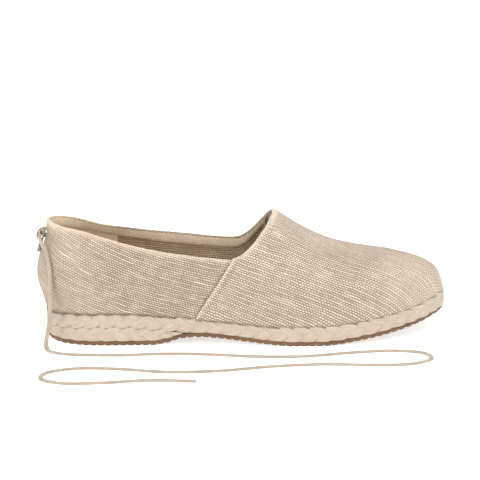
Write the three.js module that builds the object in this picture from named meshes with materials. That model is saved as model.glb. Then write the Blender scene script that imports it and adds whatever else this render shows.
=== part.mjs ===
// A women's flat espadrille with ankle ties, for the right foot, in millimetres.
//
// The shoe stands on the plane z = 0 with its toe towards +X and its big-toe (medial) side towards +Y.
// Its tables measure x from the heel's back and y from the middle of the heel. The finished group is
// moved so that its origin lies on the floor under the middle of the shoe.
import * as THREE from 'three';
import { mergeVertices } from 'three/addons/utils/BufferGeometryUtils.js';

// ---- Driving dimensions -------------------------------------------------------------------------

const SOLE_LENGTH = 258;
const HEEL_ROUND = 33;        // length of the round heel end
const HEEL_STANDOFF = 1.6;    // how far the sole's back stands out behind that round end
const TOE_ROUND = 84;         // length of the round toe end
const TOE_FULLNESS = 2.2;     // its roundness from above, 2 for an ellipse and more for a fuller one
const RUBBER = 3;             // outsole thickness
const BRAID = 9.2;            // height of one row of jute braid
const WALL = 1.6;             // linen and lining
const GAP = 0.3;              // between pieces that are sewn or glued together
const INSOLE = 2;             // insole thickness
const HEEL_LIFT_END = 88;     // where the second row of braid has tapered away
const THROAT = { peak: 147, lateral: 120, medial: 124, steps: 6 };   // its peak and its corners
const THROAT_CURVE = 1.4;     // its edge climbs slowly out of the corners, and more steeply above
const TOE_TOP = 198;          // where the toe box begins to fall away to the tip
const TOE_SQUARE = 2.6;       // roundness of the toe box from the side
const SWELL_TOP = 46;         // height over the feather line at which the sides stop swelling
const STATIONS = 46;          // along the shoe
const ROWS = 10;              // of the upper, between the feather line and its top edge

// The sole: the spine is the middle of a section, the widths are from the spine to the sole's edge,
// tread is the underside and feather the line where the upper meets the braid, both over the floor,
// and welt is how far the braid stands out from the upper there.
const SOLE = [
  { x: 0,   spine: 0,   lateral: 30,   medial: 30,   tread: 0.6,  feather: 19.9, welt: 1.5 },
  { x: 9,   spine: 0,   lateral: 30,   medial: 30,   tread: 0.1,  feather: 20.1, welt: 0.9 },
  { x: 20,  spine: 0,   lateral: 30.4, medial: 30.2, tread: 0,    feather: 20.7, welt: 0.8 },
  { x: 45,  spine: 0,   lateral: 32.3, medial: 30.5, tread: 0,    feather: 21.2, welt: 1 },
  { x: 69,  spine: 0,   lateral: 33,   medial: 28.8, tread: 0,    feather: 19.9, welt: 1.1 },
  { x: 79,  spine: 0,   lateral: 33.2, medial: 27.8, tread: 1.7,  feather: 18.6, welt: 1.1 },
  { x: 90,  spine: 0,   lateral: 33.6, medial: 27.2, tread: 4.9,  feather: 17.4, welt: 1.2 },
  { x: 100, spine: 0,   lateral: 34.6, medial: 27.4, tread: 4.9,  feather: 16.7, welt: 1.2 },
  { x: 124, spine: 0,   lateral: 38.3, medial: 30.5, tread: 2.8,  feather: 14.8, welt: 1.4 },
  { x: 145, spine: 0.3, lateral: 42.6, medial: 36.5, tread: 0.6,  feather: 12.6, welt: 1.6 },
  { x: 157, spine: 0.6, lateral: 44.8, medial: 40,   tread: 0,    feather: 12,   welt: 1.7 },
  { x: 176, spine: 1.4, lateral: 46.4, medial: 43,   tread: 0,    feather: 12.2, welt: 1.8 },
  { x: 195, spine: 2.6, lateral: 47.2, medial: 43,   tread: 1.8,  feather: 13.6, welt: 2 },
  { x: 214, spine: 4,   lateral: 47.2, medial: 42,   tread: 4.3,  feather: 15.8, welt: 2.2 },
  { x: 236, spine: 5.8, lateral: 46.4, medial: 40,   tread: 8,    feather: 19.4, welt: 2.5 },
  { x: 258, spine: 7,   lateral: 45,   medial: 38,   tread: 12,   feather: 25,   welt: 2 },
];

// The last above the feather line: ridge is the top of each section over the floor, higher than the
// collar behind the throat, where it only sets how the walls lean in; square is the section's
// roundness, 2 for an ellipse and more for a boxier one; swell is how far its sides stand out.
const LAST = [
  { x: 0,   ridge: 130,  square: 3.4, swell: 6.8 },
  { x: 9,   ridge: 98,   square: 3,   swell: 6.2 },
  { x: 20,  ridge: 87,   square: 2.6, swell: 5 },
  { x: 34,  ridge: 83,   square: 2.4, swell: 3.8 },
  { x: 60,  ridge: 86,   square: 2.5, swell: 2.8 },
  { x: 90,  ridge: 96,   square: 2.7, swell: 2.4 },
  { x: 120, ridge: 98,   square: 2.4, swell: 2.6 },
  { x: 133, ridge: 90,   square: 2.3, swell: 2.4 },
  { x: 147, ridge: 81.3, square: 2.2, swell: 2.2 },
  { x: 164, ridge: 69.4, square: 2.2, swell: 2 },
  { x: 178, ridge: 61.8, square: 2.2, swell: 2 },
  { x: 192, ridge: 56.8, square: 2.3, swell: 1.8 },
  { x: 208, ridge: 53.6, square: 2.4, swell: 1.4 },
  { x: 236, ridge: 51.6, square: 2.5, swell: 0.8 },
  { x: 258, ridge: 52,   square: 2.5, swell: 0 },
];

// The collar's edge over the floor, behind the throat's corners.
const COLLAR = [
  { x: 0,   lateral: 77.5, medial: 77.5 },
  { x: 10,  lateral: 74.9, medial: 75.4 },
  { x: 29,  lateral: 70.8, medial: 70.4 },
  { x: 60,  lateral: 63,   medial: 64.8 },
  { x: 92,  lateral: 57.6, medial: 60.9 },
  { x: 126, lateral: 54.4, medial: 57.4 },
];

// The sides of the sole's layers, from bottom to top: at is the share of the layer's height, and inset
// how far that level lies inside the layer's outline.
const BRAID_SIDE = [
  { at: 0, inset: 1.5 },
  { at: 0.2, inset: 0.35 },
  { at: 0.5, inset: 0 },
  { at: 0.8, inset: 0.35 },
  { at: 1, inset: 1.5 },
];
const RUBBER_SIDE = [
  { at: 0, inset: 1.9 },
  { at: 0.35, inset: 1 },
  { at: 1, inset: 1 },
];
const INSOLE_SIDE = [
  { at: 0, inset: WALL + 1.2 },
  { at: 1, inset: WALL + 1.6 },
];

// The pull loop on the heel's back seam: a strap sewn down along the seam and bowed out round the tie.
const LOOP = { middle: 67.1, halfHeight: 4.7, reach: 5.4, strap: 1.4, tail: 11.2, width: 7 };

// The ankle tie, a flat lace threaded through the loop, shown as a plain round cord. Each half falls
// over one side of the heel and lies on the floor there. Its points are on the finished part's axes.
const TIE = { radius: 1, sides: 8, steps: 80 };
const TIE_LATERAL = [
  [-129.6, -0.2, 67.3],
  [-129.6, -4.8, 67.2],
  [-129.4, -9, 66.8],
  [-127, -13.2, 64],
  [-124.3, -17.4, 60.2],
  [-122.6, -21.4, 55.1],
  [-121.5, -24.8, 48.8],
  [-121.3, -26.6, 41],
  [-121.6, -27.6, 30],
  [-122.4, -28.6, 19],
  [-124, -31, 9],
  [-124.6, -35.4, 3.6],
  [-123.6, -39.6, 1.3],
  [-119.5, -45.4, 1.1],
  [-111, -50.5, 1.1],
  [-95, -54, 1.1],
  [-76, -56, 1.1],
  [-48, -55, 1.1],
  [-20, -59, 1.1],
  [8, -66, 1.1],
  [38, -68, 1.1],
  [68, -62, 1.1],
  [94, -60, 1.1],
  [112, -67, 1.1],
  [115, -80, 1.1],
  [103, -90, 1.1],
  [80, -91, 1.1],
  [50, -87, 1.1],
  [18, -89, 1.1],
  [-14, -96, 1.1],
  [-46, -96, 1.1],
  [-76, -87, 1.1],
  [-102, -84, 1.1],
  [-119, -92, 1.1],
  [-121, -105, 1.1],
  [-108, -115, 1.1],
  [-84, -116, 1.1],
  [-56, -113, 1.1],
  [-28, -117, 1.1],
];
const TIE_MEDIAL = [
  [-129.6, 0.2, 67.3],
  [-129.6, 4.8, 67.2],
  [-129.4, 9, 66.8],
  [-127, 13.2, 64],
  [-124.3, 17.4, 60.2],
  [-122.6, 21.4, 55.1],
  [-121.5, 24.8, 48.8],
  [-121.3, 26.6, 41],
  [-121.6, 27.6, 30],
  [-122.4, 28.6, 19],
  [-124, 31, 9],
  [-124.6, 35.4, 3.6],
  [-123.6, 39.6, 1.3],
  [-118.5, 44.4, 1.1],
  [-109, 47.5, 1.1],
  [-92, 49, 1.1],
  [-64, 47, 1.1],
  [-36, 45, 1.1],
  [-8, 52, 1.1],
  [20, 62, 1.1],
  [50, 66, 1.1],
  [80, 62, 1.1],
  [104, 64, 1.1],
  [118, 74, 1.1],
  [114, 88, 1.1],
  [95, 95, 1.1],
  [66, 91, 1.1],
  [36, 85, 1.1],
  [4, 78, 1.1],
  [-28, 73, 1.1],
  [-60, 74, 1.1],
  [-90, 73, 1.1],
  [-112, 78, 1.1],
  [-120, 90, 1.1],
  [-110, 101, 1.1],
  [-86, 103, 1.1],
  [-56, 98, 1.1],
  [-28, 97, 1.1],
];

const FINISHES = {
  rubber: { colour: 0xb08a5c, roughness: 0.8 },
  jute: { colour: 0xe3d6c3, roughness: 0.95 },
  linen: { colour: 0xd3c1a7, roughness: 0.95 },
  footbed: { colour: 0xcdb996, roughness: 0.9 },
  suede: { colour: 0xbfae9a, roughness: 0.9 },
};

// ---- Curves through the tables ------------------------------------------------------------------

// A smooth function of x through one column of a table, which never overshoots its rows.
function through(rows, column) {
  const last = rows.length - 1;
  const rise = (i) => (rows[i + 1][column] - rows[i][column]) / (rows[i + 1].x - rows[i].x);
  const slopes = rows.map((_, i) => {
    if (i === 0 || i === last) return 0;
    const before = rise(i - 1);
    const after = rise(i);
    return before * after <= 0 ? 0 : (2 * before * after) / (before + after);
  });
  return (x) => {
    let i = 0;
    while (i < last - 1 && x > rows[i + 1].x) i += 1;
    const span = rows[i + 1].x - rows[i].x;
    const s = THREE.MathUtils.clamp((x - rows[i].x) / span, 0, 1);
    const start = rows[i][column];
    const end = rows[i + 1][column];
    const bend = s * (1 - s) * span * (slopes[i] * (1 - s) - slopes[i + 1] * s);
    return THREE.MathUtils.lerp(start, end, s * s * (3 - 2 * s)) + bend;
  };
}

const spine = through(SOLE, 'spine');
const tread = through(SOLE, 'tread');
const feather = through(SOLE, 'feather');
const welt = through(SOLE, 'welt');
const halfWidth = { lateral: through(SOLE, 'lateral'), medial: through(SOLE, 'medial') };
const ridge = through(LAST, 'ridge');
const square = through(LAST, 'square');
const swell = through(LAST, 'swell');
const collar = { lateral: through(COLLAR, 'lateral'), medial: through(COLLAR, 'medial') };

// ---- The sole's outline -------------------------------------------------------------------------

const SIDES = ['lateral', 'medial'];
const TOWARDS = { lateral: -1, medial: 1 };   // the sign of y on each side

// A station t runs from 0 at the heel's back to 1 at the toe's tip. Stations crowd at both ends, where
// the outline turns.
const along = (t) => (SOLE_LENGTH * (1 - Math.cos(Math.PI * t))) / 2;
const stationAt = (x) => Math.acos(1 - (2 * x) / SOLE_LENGTH) / Math.PI;
const spacedStations = (count, end = 1) =>
  Array.from({ length: count + 1 }, (_, i) => (end * i) / count);

// The sole's back edge spreads a little further out than the round heel end does.
const spread = (x) =>
  x - HEEL_STANDOFF * Math.pow(THREE.MathUtils.clamp(1 - x / HEEL_ROUND, 0, 1), 2);

// How much of its full width the outline has, less than 1 only in the round ends.
function roundedEnds(x) {
  const heel = THREE.MathUtils.clamp((HEEL_ROUND - x) / HEEL_ROUND, 0, 1);
  const toe = THREE.MathUtils.clamp((x - SOLE_LENGTH + TOE_ROUND) / TOE_ROUND, 0, 1);
  const full = Math.pow(1 - Math.pow(toe, TOE_FULLNESS), 1 / TOE_FULLNESS);
  return full * Math.sqrt(1 - heel * heel);
}

// The outward direction of the outline at a station, as its share along x and its share across.
function outward(t) {
  if (t === 0 || t === 1) return { along: 2 * t - 1, across: 0 };
  const meanWidth = (s) => {
    const x = along(s);
    return ((halfWidth.lateral(x) + halfWidth.medial(x)) / 2) * roundedEnds(x);
  };
  const step = 1e-3;
  const run = spread(along(t + step)) - spread(along(t - step));
  const widening = meanWidth(t + step) - meanWidth(t - step);
  const length = Math.hypot(run, widening);
  return { along: -widening / length, across: run / length };
}

// A point of the outline moved inwards, with the middle of its section.
function edge(side, t, inset) {
  const x = along(t);
  const out = outward(t);
  const width = Math.max(0, halfWidth[side](x) * roundedEnds(x) - out.across * inset);
  return { x: spread(x) - out.along * inset, y: spine(x) + TOWARDS[side] * width, middle: spine(x) };
}

// ---- Solids from quads --------------------------------------------------------------------------

// One closed solid from four-cornered faces: corners that meet are merged, and faces that have closed
// up to nothing are left out.
function solid(quads) {
  const corners = quads.flatMap(([a, b, c, d]) => [a, b, c, a, c, d]);
  const merged = mergeVertices(new THREE.BufferGeometry().setFromPoints(corners), 1e-3);
  const index = merged.index.array;
  const kept = [];
  for (let i = 0; i < index.length; i += 3) {
    const [a, b, c] = index.slice(i, i + 3);
    if (a !== b && b !== c && c !== a) kept.push(a, b, c);
  }
  merged.setIndex(kept);
  merged.computeVertexNormals();
  return merged;
}

// The faces between two rows of points. The two sides of the shoe mirror each other, so their faces
// are wound opposite ways.
function strip(side, low, high) {
  const faces = [];
  for (let i = 0; i + 1 < low.length; i += 1) {
    const face = [low[i], low[i + 1], high[i + 1], high[i]];
    faces.push(side === 'lateral' ? face : face.reverse());
  }
  return faces;
}

// ---- The sole's layers --------------------------------------------------------------------------

// A layer between two heights, with the side profile that its levels give. Its outline is the sole's,
// moved inwards by its margin.
function soleLayer({ bottom, top, levels, stations, margin = () => 0 }) {
  const rowsOf = (side) =>
    levels.map(({ at, inset }) =>
      stations.map((t) => {
        const height = THREE.MathUtils.lerp(bottom(along(t)), top(along(t)), at);
        const { x, y } = edge(side, t, margin(along(t)) + inset);
        return new THREE.Vector3(x, y, height);
      }),
    );
  const rows = { lateral: rowsOf('lateral'), medial: rowsOf('medial') };
  const faces = [];
  for (const side of SIDES) {
    for (let j = 0; j + 1 < levels.length; j += 1) {
      faces.push(...strip(side, rows[side][j], rows[side][j + 1]));
    }
  }
  faces.push(...strip('medial', rows.lateral[0], rows.medial[0]));
  faces.push(...strip('lateral', rows.lateral.at(-1), rows.medial.at(-1)));
  const frontEnd = (side) => rows[side].map((row) => row.at(-1));
  faces.push(...strip('medial', frontEnd('lateral'), frontEnd('medial')));
  return solid(faces);
}

const rubberTop = (x) => tread(x) + RUBBER;

// The midsole is one row of braid high over the heel lift, and lies on the rubber in front of it.
const midsoleBottom = (x) =>
  Math.max(x > TOE_TOP ? 0 : feather(x) - BRAID, rubberTop(x) + GAP);

const outsole = () =>
  soleLayer({
    bottom: tread,
    top: rubberTop,
    levels: RUBBER_SIDE,
    stations: spacedStations(STATIONS),
  });

const heelLift = () =>
  soleLayer({
    bottom: (x) => rubberTop(x) + GAP,
    top: (x) => midsoleBottom(x) - GAP,
    levels: BRAID_SIDE,
    stations: spacedStations(STATIONS / 2, stationAt(HEEL_LIFT_END)),
  });

const midsole = () =>
  soleLayer({
    bottom: midsoleBottom,
    top: feather,
    levels: BRAID_SIDE,
    stations: spacedStations(STATIONS),
  });

const insole = () =>
  soleLayer({
    bottom: (x) => feather(x) + GAP,
    top: (x) => feather(x) + GAP + INSOLE,
    levels: INSOLE_SIDE,
    stations: spacedStations(STATIONS),
    margin: welt,
  });

// ---- The upper ----------------------------------------------------------------------------------

// The height of the last over the feather line, which falls away to nothing at the toe's tip.
function lastHeight(x, inset) {
  const past = THREE.MathUtils.clamp((x - TOE_TOP) / (SOLE_LENGTH - TOE_TOP), 0, 1);
  const front = Math.pow(1 - Math.pow(past, TOE_SQUARE), 1 / TOE_SQUARE);
  return (ridge(x) - feather(x) - GAP - inset) * front;
}

// The top edge of the upper over the floor: the collar, then the throat's line up to its peak. In
// front of the peak the upper closes over the foot.
function topEdge(side, x) {
  const corner = THROAT[side];
  if (x >= THROAT.peak) return Infinity;
  if (x <= corner) return collar[side](x);
  const climb = Math.pow((x - corner) / (THROAT.peak - corner), THROAT_CURVE);
  return THREE.MathUtils.lerp(collar[side](corner), ridge(THROAT.peak), climb);
}

// A point of the upper's surface at a station: up is 0 at the feather line and 1 at the top edge, and
// inset is how deep in the wall the surface lies, 0 for the outside.
function upperPoint(side, t, up, inset) {
  const x = along(t);
  const foot = edge(side, t, welt(x) + inset);
  const middle = new THREE.Vector2(Math.max(foot.x, HEEL_ROUND), foot.middle);
  const height = lastHeight(x, inset);
  const power = 2 / square(x);
  const share = (topEdge(side, x) - feather(x) - GAP) / Math.max(height, 1e-6);
  const topTurn = Math.asin(Math.pow(Math.min(1, share), 1 / power));
  const turn = up * topTurn;
  const inwards = share >= 1 && up === 1 ? 0 : Math.pow(Math.cos(turn), power);
  const rise = height * Math.pow(Math.sin(turn), power);
  const reach = new THREE.Vector2(foot.x, foot.y).sub(middle);
  const swellTop = Math.min(SWELL_TOP, 0.8 * height);
  const bulge = swell(x) * Math.sin(Math.PI * Math.min(1, rise / Math.max(swellTop, 1e-6)));
  reach.setLength(reach.length() * inwards + bulge);
  return new THREE.Vector3(middle.x + reach.x, middle.y + reach.y, feather(x) + GAP + rise);
}

// Even stations, with closer ones up the throat's slope.
function upperStations() {
  const slope = Array.from({ length: THROAT.steps + 1 }, (_, i) =>
    THREE.MathUtils.lerp(THROAT.medial, THROAT.peak, i / THROAT.steps),
  );
  const throat = [THROAT.lateral, ...slope].map(stationAt);
  const even = spacedStations(STATIONS).filter((t) =>
    throat.every((s) => Math.abs(s - t) > 0.3 / STATIONS),
  );
  return [...even, ...throat].sort((a, b) => a - b);
}

function upper() {
  const stations = upperStations();
  const open = stations.filter((t) => along(t) < THROAT.peak + GAP).length;
  const faces = [];
  for (const side of SIDES) {
    const row = (j, inset) => stations.map((t) => upperPoint(side, t, j / ROWS, inset));
    for (let j = 0; j < ROWS; j += 1) {
      faces.push(...strip(side, row(j, 0), row(j + 1, 0)));
      faces.push(...strip(side, row(j + 1, WALL), row(j, WALL)));
    }
    faces.push(...strip(side, row(0, WALL), row(0, 0)));
    faces.push(...strip(side, row(ROWS, 0).slice(0, open), row(ROWS, WALL).slice(0, open)));
  }
  return solid(faces);
}

// ---- Pull loop and ties -------------------------------------------------------------------------

// How far behind the sole's back the heel's seam lies at a height.
function heelSeam(z) {
  let up = 0;
  while (up < 1 && upperPoint('lateral', 0, up, 0).z < z) up += 0.01;
  return upperPoint('lateral', 0, up, 0).x;
}

// The strap's side view: its flat side leans on the heel, it bows out and its tail runs down.
function pullLoop() {
  const { middle, halfHeight, reach, strap, tail, width } = LOOP;
  const shape = new THREE.Shape();
  shape.moveTo(0, -tail);
  shape.lineTo(0, halfHeight);
  shape.absellipse(0, 0, reach, halfHeight, Math.PI / 2, 1.45 * Math.PI, false);
  shape.lineTo(-strap, -tail);
  const hole = new THREE.Path();
  hole.absellipse(-strap, 0, reach - 2 * strap, halfHeight - strap, Math.PI / 2, 1.5 * Math.PI, false);
  shape.holes.push(hole);
  const geometry = new THREE.ExtrudeGeometry(shape, {
    depth: width,
    bevelEnabled: false,
    curveSegments: 12,
  });
  const slope = (heelSeam(middle + halfHeight) - heelSeam(middle - tail)) / (halfHeight + tail);
  const heights = Array.from({ length: Math.round(halfHeight + tail) + 1 }, (_, i) => i - tail);
  const seat = Math.min(...heights.map((h) => heelSeam(middle + h) - slope * h));
  geometry.rotateX(Math.PI / 2);
  geometry.translate(0, width / 2, 0);
  geometry.rotateY(Math.atan(slope));
  geometry.translate(seat - 2 * GAP, 0, middle);
  return geometry;
}

function tie(points) {
  const route = new THREE.CatmullRomCurve3(points.map(([x, y, z]) => new THREE.Vector3(x, y, z)));
  const section = new THREE.Shape(
    Array.from({ length: TIE.sides }, (_, i) => {
      const turn = (2 * Math.PI * i) / TIE.sides;
      return new THREE.Vector2(TIE.radius * Math.cos(turn), TIE.radius * Math.sin(turn));
    }),
  );
  return new THREE.ExtrudeGeometry(section, { extrudePath: route, steps: TIE.steps });
}

// ---- Put together -------------------------------------------------------------------------------

function piece(name, geometry, { colour, roughness }) {
  const material = new THREE.MeshStandardMaterial({ color: colour, roughness, metalness: 0 });
  const mesh = new THREE.Mesh(geometry, material);
  mesh.name = name;
  return mesh;
}

const shoe = new THREE.Group();
shoe.add(
  piece('outsole', outsole(), FINISHES.rubber),
  piece('heel_lift', heelLift(), FINISHES.jute),
  piece('midsole', midsole(), FINISHES.jute),
  piece('insole', insole(), FINISHES.footbed),
  piece('upper', upper(), FINISHES.linen),
  piece('pull_loop', pullLoop(), FINISHES.suede),
);
const middle = new THREE.Box3().setFromObject(shoe).getCenter(new THREE.Vector3());
shoe.position.set(-middle.x, -middle.y, 0);

const espadrille = new THREE.Group();
espadrille.add(
  shoe,
  piece('tie_lateral', tie(TIE_LATERAL), FINISHES.suede),
  piece('tie_medial', tie(TIE_MEDIAL), FINISHES.suede),
);

export default espadrille;
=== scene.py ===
# %% [markdown]
# # A flat espadrille with ankle ties
#
# A women's right espadrille: a linen upper on two rows of jute braid and a thin rubber sole, with a
# long suede tie threaded through a loop on its heel. The CAD model fixes every size. This lesson
# dresses it: cloth cut into panels, a real plait, stitches, fibres and weave.
#
# The toe points to +X, the big-toe side to +Y and the floor is the plane z = 0. All sizes are in
# metres.

import math
from contextlib import contextmanager

import bmesh
import bpy
import numpy as np
from mathutils import Matrix, Vector, noise
from mathutils.bvhtree import BVHTree
from mathutils.kdtree import KDTree


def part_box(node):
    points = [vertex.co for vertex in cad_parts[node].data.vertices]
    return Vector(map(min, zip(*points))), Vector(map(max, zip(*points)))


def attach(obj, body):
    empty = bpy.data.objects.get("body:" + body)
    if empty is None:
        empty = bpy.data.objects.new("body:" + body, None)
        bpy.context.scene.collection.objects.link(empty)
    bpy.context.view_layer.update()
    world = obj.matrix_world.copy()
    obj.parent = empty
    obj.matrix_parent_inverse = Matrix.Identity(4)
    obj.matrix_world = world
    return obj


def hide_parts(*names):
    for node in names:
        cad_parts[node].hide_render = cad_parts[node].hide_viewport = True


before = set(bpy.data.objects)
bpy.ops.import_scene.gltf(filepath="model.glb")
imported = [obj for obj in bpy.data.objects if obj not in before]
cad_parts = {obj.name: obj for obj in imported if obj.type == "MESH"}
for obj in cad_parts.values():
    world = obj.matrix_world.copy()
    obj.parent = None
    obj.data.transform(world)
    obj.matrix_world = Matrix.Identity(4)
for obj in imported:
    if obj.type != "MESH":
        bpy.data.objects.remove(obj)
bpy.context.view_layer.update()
MM = 0.001


# %% [markdown]
# ## Camera, light and floor
#
# The shoe is seen from its outer side, from a little above the floor, through a long lens as in a
# product picture. Soft light comes from all round. A broad lamp overhead models the vamp, and two
# weaker ones fill in the side and the heel.

# %% Camera
EYE_HEIGHT_ANGLE = math.radians(13)     # line of sight to the shoe's middle, below the horizon
EYE_DISTANCE = 1.2
LENS = 138.7
TILT = math.radians(-1.3)               # the camera leans a little, so the toe side looks higher
AIM_UP, AIM_RIGHT = 20.1 * MM, -0.16 * MM

middle = Vector((0, 0, 40 * MM))
back = Vector((0, -math.cos(EYE_HEIGHT_ANGLE), math.sin(EYE_HEIGHT_ANGLE)))
bpy.ops.object.camera_add(location=middle + back * EYE_DISTANCE)
camera = bpy.context.object
camera.name = "camera"
right, up = Vector((1, 0, 0)), back.cross(Vector((1, 0, 0)))
aim = middle + up * AIM_UP + right * AIM_RIGHT
turn = (aim - camera.location).to_track_quat("-Z", "Y")
camera.rotation_mode = "QUATERNION"
camera.rotation_quaternion = turn @ Matrix.Rotation(TILT, 3, "Z").to_quaternion()
camera.data.lens = LENS
camera.data.sensor_width = 36
bpy.context.scene.camera = camera
bpy.context.scene.view_settings.view_transform = "Standard"
print("camera at", list(camera.location))


# %% Lamps and sky
def lamp(name, place, target, size, power, tint=(1, 1, 1)):
    bpy.ops.object.light_add(type="AREA", location=place)
    made = bpy.context.object
    made.name = name
    made.rotation_euler = (Vector(target) - Vector(place)).to_track_quat("-Z", "Y").to_euler()
    made.data.size = size
    made.data.energy = power
    made.data.color = tint
    return made


lamp("top_light", (0.1, -0.5, 1.35), (0, 0, 0), 1.0, 21)
lamp("front_light", (0.35, -1.5, 0.8), (0, 0, 0.03), 1.2, 6)
lamp("heel_light", (-1.1, -0.9, 0.5), (-0.1, 0, 0.04), 0.8, 5)
world = bpy.data.worlds.new("soft_sky")
bpy.context.scene.world = world
world.use_nodes = True
world.node_tree.nodes["Background"].inputs["Color"].default_value = (1, 1, 1, 1)
world.node_tree.nodes["Background"].inputs["Strength"].default_value = 0.8


# %% [markdown]
# ## Writing materials
#
# A material's maths reads best as plain expressions. A `Wire` is one output of a shader node.
# Arithmetic on wires adds Math nodes, and `node` adds any other kind.

# %% Shader expressions
class Wire:
    def __init__(self, tree, socket=None):
        self.tree, self.socket = tree, socket

    def node(self, kind, *inputs, out=0, stops=None, **settings):
        made = self.tree.nodes.new("ShaderNode" + kind)
        for name, value in settings.items():
            setattr(made, name, value)
        if stops:
            ramp = made.color_ramp.elements
            while len(ramp) < len(stops):
                ramp.new(0.5)
            for stop, (place, colour) in zip(ramp, stops):
                stop.position, stop.color = place, (*colour, 1)
        for key, value in inputs:
            if isinstance(value, Wire):
                self.tree.links.new(value.socket, made.inputs[key])
            else:
                made.inputs[key].default_value = value
        return Wire(self.tree, made.outputs[out])

    def other(self, out):
        return Wire(self.tree, self.socket.node.outputs[out])

    def math(self, operation, *values):
        return self.node("Math", *enumerate(values), operation=operation)

    def __add__(self, value):
        return self.math("ADD", self, value)

    def __radd__(self, value):
        return self.math("ADD", value, self)

    def __sub__(self, value):
        return self.math("SUBTRACT", self, value)

    def __rsub__(self, value):
        return self.math("SUBTRACT", value, self)

    def __mul__(self, value):
        return self.math("MULTIPLY", self, value)

    def __rmul__(self, value):
        return self.math("MULTIPLY", value, self)

    def floor(self):
        return self.math("FLOOR", self)

    def fraction(self):
        return self.math("FRACT", self)

    def sine(self):
        return self.math("SINE", self)

    def size(self):
        return self.math("ABSOLUTE", self)

    def most(self, value):
        return self.math("MAXIMUM", self, value)

    def ramp(self, low, high):
        """0 below low, 1 above high and smooth between."""
        return self.node("MapRange", (0, self), (1, low), (2, high), interpolation_type="SMOOTHSTEP")

    def blend(self, low, high):
        """A colour between two, by this share."""
        return self.node("Mix", (0, self), (6, low), (7, high), out=2, data_type="RGBA")

    def on_object(self):
        return self.node("TexCoord", out="Object")

    def on_cloth(self):
        """The piece's own UV map, in metres along and across the cloth, strand or tape."""
        return self.node("UVMap", uv_map="cloth")

    def kept(self, name):
        """A number that was kept on every vertex."""
        return self.node("Attribute", attribute_name=name, out="Fac")

    def split(self):
        """The X of a place. Its Y and Z are other("Y") and other("Z")."""
        return self.node("SeparateXYZ", (0, self))

    def point(self, x, y, z=0.0):
        return self.node("CombineXYZ", (0, x), (1, y), (2, z))

    def speckle(self, place, scale, detail=2.0, rough=0.5):
        return self.node("TexNoise", ("Vector", place), ("Scale", scale), ("Detail", detail),
                         ("Roughness", rough))


def paint(red, green, blue):
    """A colour from the 0 to 255 of a paint chart, as the light-linear values that shaders use."""
    def linear(value):
        value /= 255
        return value / 12.92 if value <= 0.04045 else ((value + 0.055) / 1.055) ** 2.4

    return (linear(red), linear(green), linear(blue), 1.0)


def new_material(name, **constants):
    """A material with its shader's own sockets set, and a wire to write its maths with."""
    made = bpy.data.materials.new(name)
    made.use_nodes = True
    shader = made.node_tree.nodes["Principled BSDF"]
    for socket, value in constants.items():
        shader.inputs[socket.replace("_", " ")].default_value = value
    return made, shader, Wire(made.node_tree)


def finish_material(wire, shader, colour, rough, height, depth, strength=1.0):
    """Links the three things that vary over a surface: its colour, its roughness and its relief."""
    wire.tree.links.new(colour.socket, shader.inputs["Base Color"])
    if isinstance(rough, Wire):
        wire.tree.links.new(rough.socket, shader.inputs["Roughness"])
    else:
        shader.inputs["Roughness"].default_value = rough
    bump = wire.node("Bump", ("Strength", strength), ("Distance", depth), ("Height", height))
    wire.tree.links.new(bump.socket, shader.inputs["Normal"])


def coat(material, *pieces):
    for piece in pieces:
        piece.data.materials.append(material)


# %% Floor
bpy.ops.mesh.primitive_plane_add(size=24, location=(0, 6, -0.02 * MM))
floor = bpy.context.object
floor.name = "floor"
pale, shader, w = new_material("pale_floor", Emission_Color=(1, 1, 1, 1), Emission_Strength=0.66)
place = w.on_object()
cloud = w.speckle(place, 3.0)
finish_material(w, shader, cloud.blend(paint(250, 249, 248), paint(253, 252, 251)), 0.8,
                w.speckle(place, 900.0), 0.02 * MM, 0.2)
coat(pale, floor)


# %% [markdown]
# ## Lines and sweeps
#
# Cords, strands and tapes all follow a line. `smooth_line` draws a smooth curve through a few points,
# `evenly` respaces it, and `sweep` carries a small outline along it as quads with a UV map in metres,
# so that fibres can follow the strand.

# %% Curve helpers
def smooth_line(points, closed=False, fine=16):
    """A centripetal Catmull-Rom curve through points."""
    p = np.asarray(points, float)
    ends = (p[-1:], p[:2]) if closed else (2 * p[:1] - p[1:2], 2 * p[-1:] - p[-2:-1])
    q = np.vstack([ends[0], p, ends[1]])
    line = []
    for a, b, c, d in zip(q, q[1:], q[2:], q[3:]):
        t1 = max(np.linalg.norm(b - a), 1e-9) ** 0.5
        t2 = t1 + max(np.linalg.norm(c - b), 1e-9) ** 0.5
        t3 = t2 + max(np.linalg.norm(d - c), 1e-9) ** 0.5
        t = np.linspace(t1, t2, fine, endpoint=False)[:, None]
        a1 = (t1 - t) / t1 * a + t / t1 * b
        a2 = (t2 - t) / (t2 - t1) * b + (t - t1) / (t2 - t1) * c
        a3 = (t3 - t) / (t3 - t2) * c + (t - t2) / (t3 - t2) * d
        b1 = (t2 - t) / t2 * a1 + t / t2 * a2
        b2 = (t3 - t) / (t3 - t1) * a2 + (t - t1) / (t3 - t1) * a3
        line.append((t2 - t) / (t2 - t1) * b1 + (t - t1) / (t2 - t1) * b2)
    line = np.vstack(line)
    return line if closed else np.vstack([line, p[-1:]])


def travelled(line):
    """How far each point is along the line. Columns past x, y and z are other values, carried along."""
    return np.concatenate([[0], np.cumsum(np.linalg.norm(np.diff(line[:, :3], axis=0), axis=1))])


def evenly(line, step, closed=False):
    """The same line with its points about a step apart."""
    whole = np.vstack([line, line[:1]]) if closed else line
    at = travelled(whole)
    count = max(2, round(at[-1] / step))
    wanted = np.linspace(0, at[-1], count + 1)[: count if closed else None]
    return np.stack([np.interp(wanted, at, whole[:, k]) for k in range(whole.shape[1])], 1)


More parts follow.
